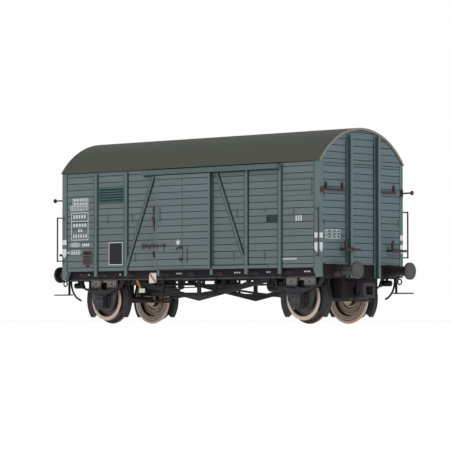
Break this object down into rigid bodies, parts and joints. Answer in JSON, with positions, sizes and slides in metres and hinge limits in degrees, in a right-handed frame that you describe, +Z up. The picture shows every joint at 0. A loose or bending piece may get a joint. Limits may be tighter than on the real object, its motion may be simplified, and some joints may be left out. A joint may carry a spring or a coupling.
{
  "type": "small-scale model of a two-axle covered railway wagon",
  "caption": "Model boxcar: planked hollow body under an arched roof, a sliding door each side, louvred vents, trussed underframe, turning wheelsets, buffers and swinging coupler sockets.",
  "frame": {"origin": "centre of the wagon's box, on the floor plane that its wheel flanges touch", "axes": "+X along the wagon towards its front end, +Y across it to its left side, +Z up"},
  "size_m": [0.1046, 0.035, 0.0483],
  "materials": {
    "body_green": "matt painted plastic with engraved boards",
    "frame_green": "matt painted plastic, slightly darker",
    "roof_olive": "matt olive grey",
    "underframe_black": "matt brown-black",
    "gear_grey": "matt dark grey",
    "plate_grey": "matt mid grey",
    "wheel_metal": "turned bare metal",
    "iron_brown": "matt red-brown",
    "buffer_black": "matt brown-black with grey heads",
    "sign_white": "matt white"
  },
  "bodies": {
    "wagon": {"floor": "gear_grey", "side_wall_right": "body_green", "side_wall_left": "body_green", "end_wall_front": "body_green", "end_wall_rear": "body_green", "roof": "roof_olive", "side_posts_right": "frame_green", "side_posts_left": "frame_green", "corner_posts": "frame_green", "end_posts_front": "frame_green", "end_posts_rear": "frame_green", "upper_door_rail_right": "frame_green", "upper_door_rail_left": "frame_green", "lower_door_rail_right": "frame_green", "lower_door_rail_left": "frame_green", "louvres": "body_green", "vent_flaps": "body_green", "solebar_right": "underframe_black", "solebar_left": "underframe_black", "headstock_front": "underframe_black", "headstock_rear": "underframe_black", "centre_sills": "gear_grey", "cross_bearers": "gear_grey", "truss_right": "gear_grey", "truss_left": "gear_grey", "step_board_right": "gear_grey", "step_board_left": "gear_grey", "axle_guards_front": "plate_grey", "axle_guards_rear": "plate_grey", "springs_front": "gear_grey", "springs_rear": "gear_grey", "axle_boxes_front": "gear_grey", "axle_boxes_rear": "gear_grey", "brake_shoes_front": "gear_grey", "brake_shoes_rear": "gear_grey", "brake_beams_front": "gear_grey", "brake_beams_rear": "gear_grey", "brake_rods": "gear_grey", "brake_cylinder": "underframe_black", "air_tank": "underframe_black", "brake_levers": "sign_white", "coupler_box_front": "underframe_black", "coupler_box_rear": "underframe_black", "buffers_front": "buffer_black", "buffers_rear": "buffer_black", "brake_hoses": "underframe_black", "handrails": "iron_brown", "lamp_brackets": "iron_brown", "shunter_steps": "underframe_black"},
    "right_door": {"door_right": "body_green", "door_handles_right": "iron_brown"},
    "left_door": {"door_left": "body_green", "door_handles_left": "iron_brown"},
    "front_wheelset": {"wheelset_front": "wheel_metal"},
    "rear_wheelset": {"wheelset_rear": "wheel_metal"},
    "front_coupler": {"coupler_socket_front": "gear_grey"},
    "rear_coupler": {"coupler_socket_rear": "gear_grey"}
  },
  "joints": [
    {"name": "right_door_slide", "type": "slide", "parent": "wagon", "child": "right_door", "axis": [1, 0, 0], "range_m": [0, 0.0208]},
    {"name": "left_door_slide", "type": "slide", "parent": "wagon", "child": "left_door", "axis": [-1, 0, 0], "range_m": [0, 0.0208]},
    {"name": "front_axle_spin", "type": "hinge", "parent": "wagon", "child": "front_wheelset", "pos_m": [0.0345, 0, 0.0064], "axis": [0, 1, 0], "continuous": true},
    {"name": "rear_axle_spin", "type": "hinge", "parent": "wagon", "child": "rear_wheelset", "pos_m": [-0.0345, 0, 0.0064], "axis": [0, 1, 0], "continuous": true},
    {"name": "front_coupler_swing", "type": "hinge", "parent": "wagon", "child": "front_coupler", "pos_m": [0.0395, 0, 0.00825], "axis": [0, 0, 1], "range_deg": [-8, 8]},
    {"name": "rear_coupler_swing", "type": "hinge", "parent": "wagon", "child": "rear_coupler", "pos_m": [-0.0395, 0, 0.00825], "axis": [0, 0, 1], "range_deg": [-8, 8]}
  ]
}
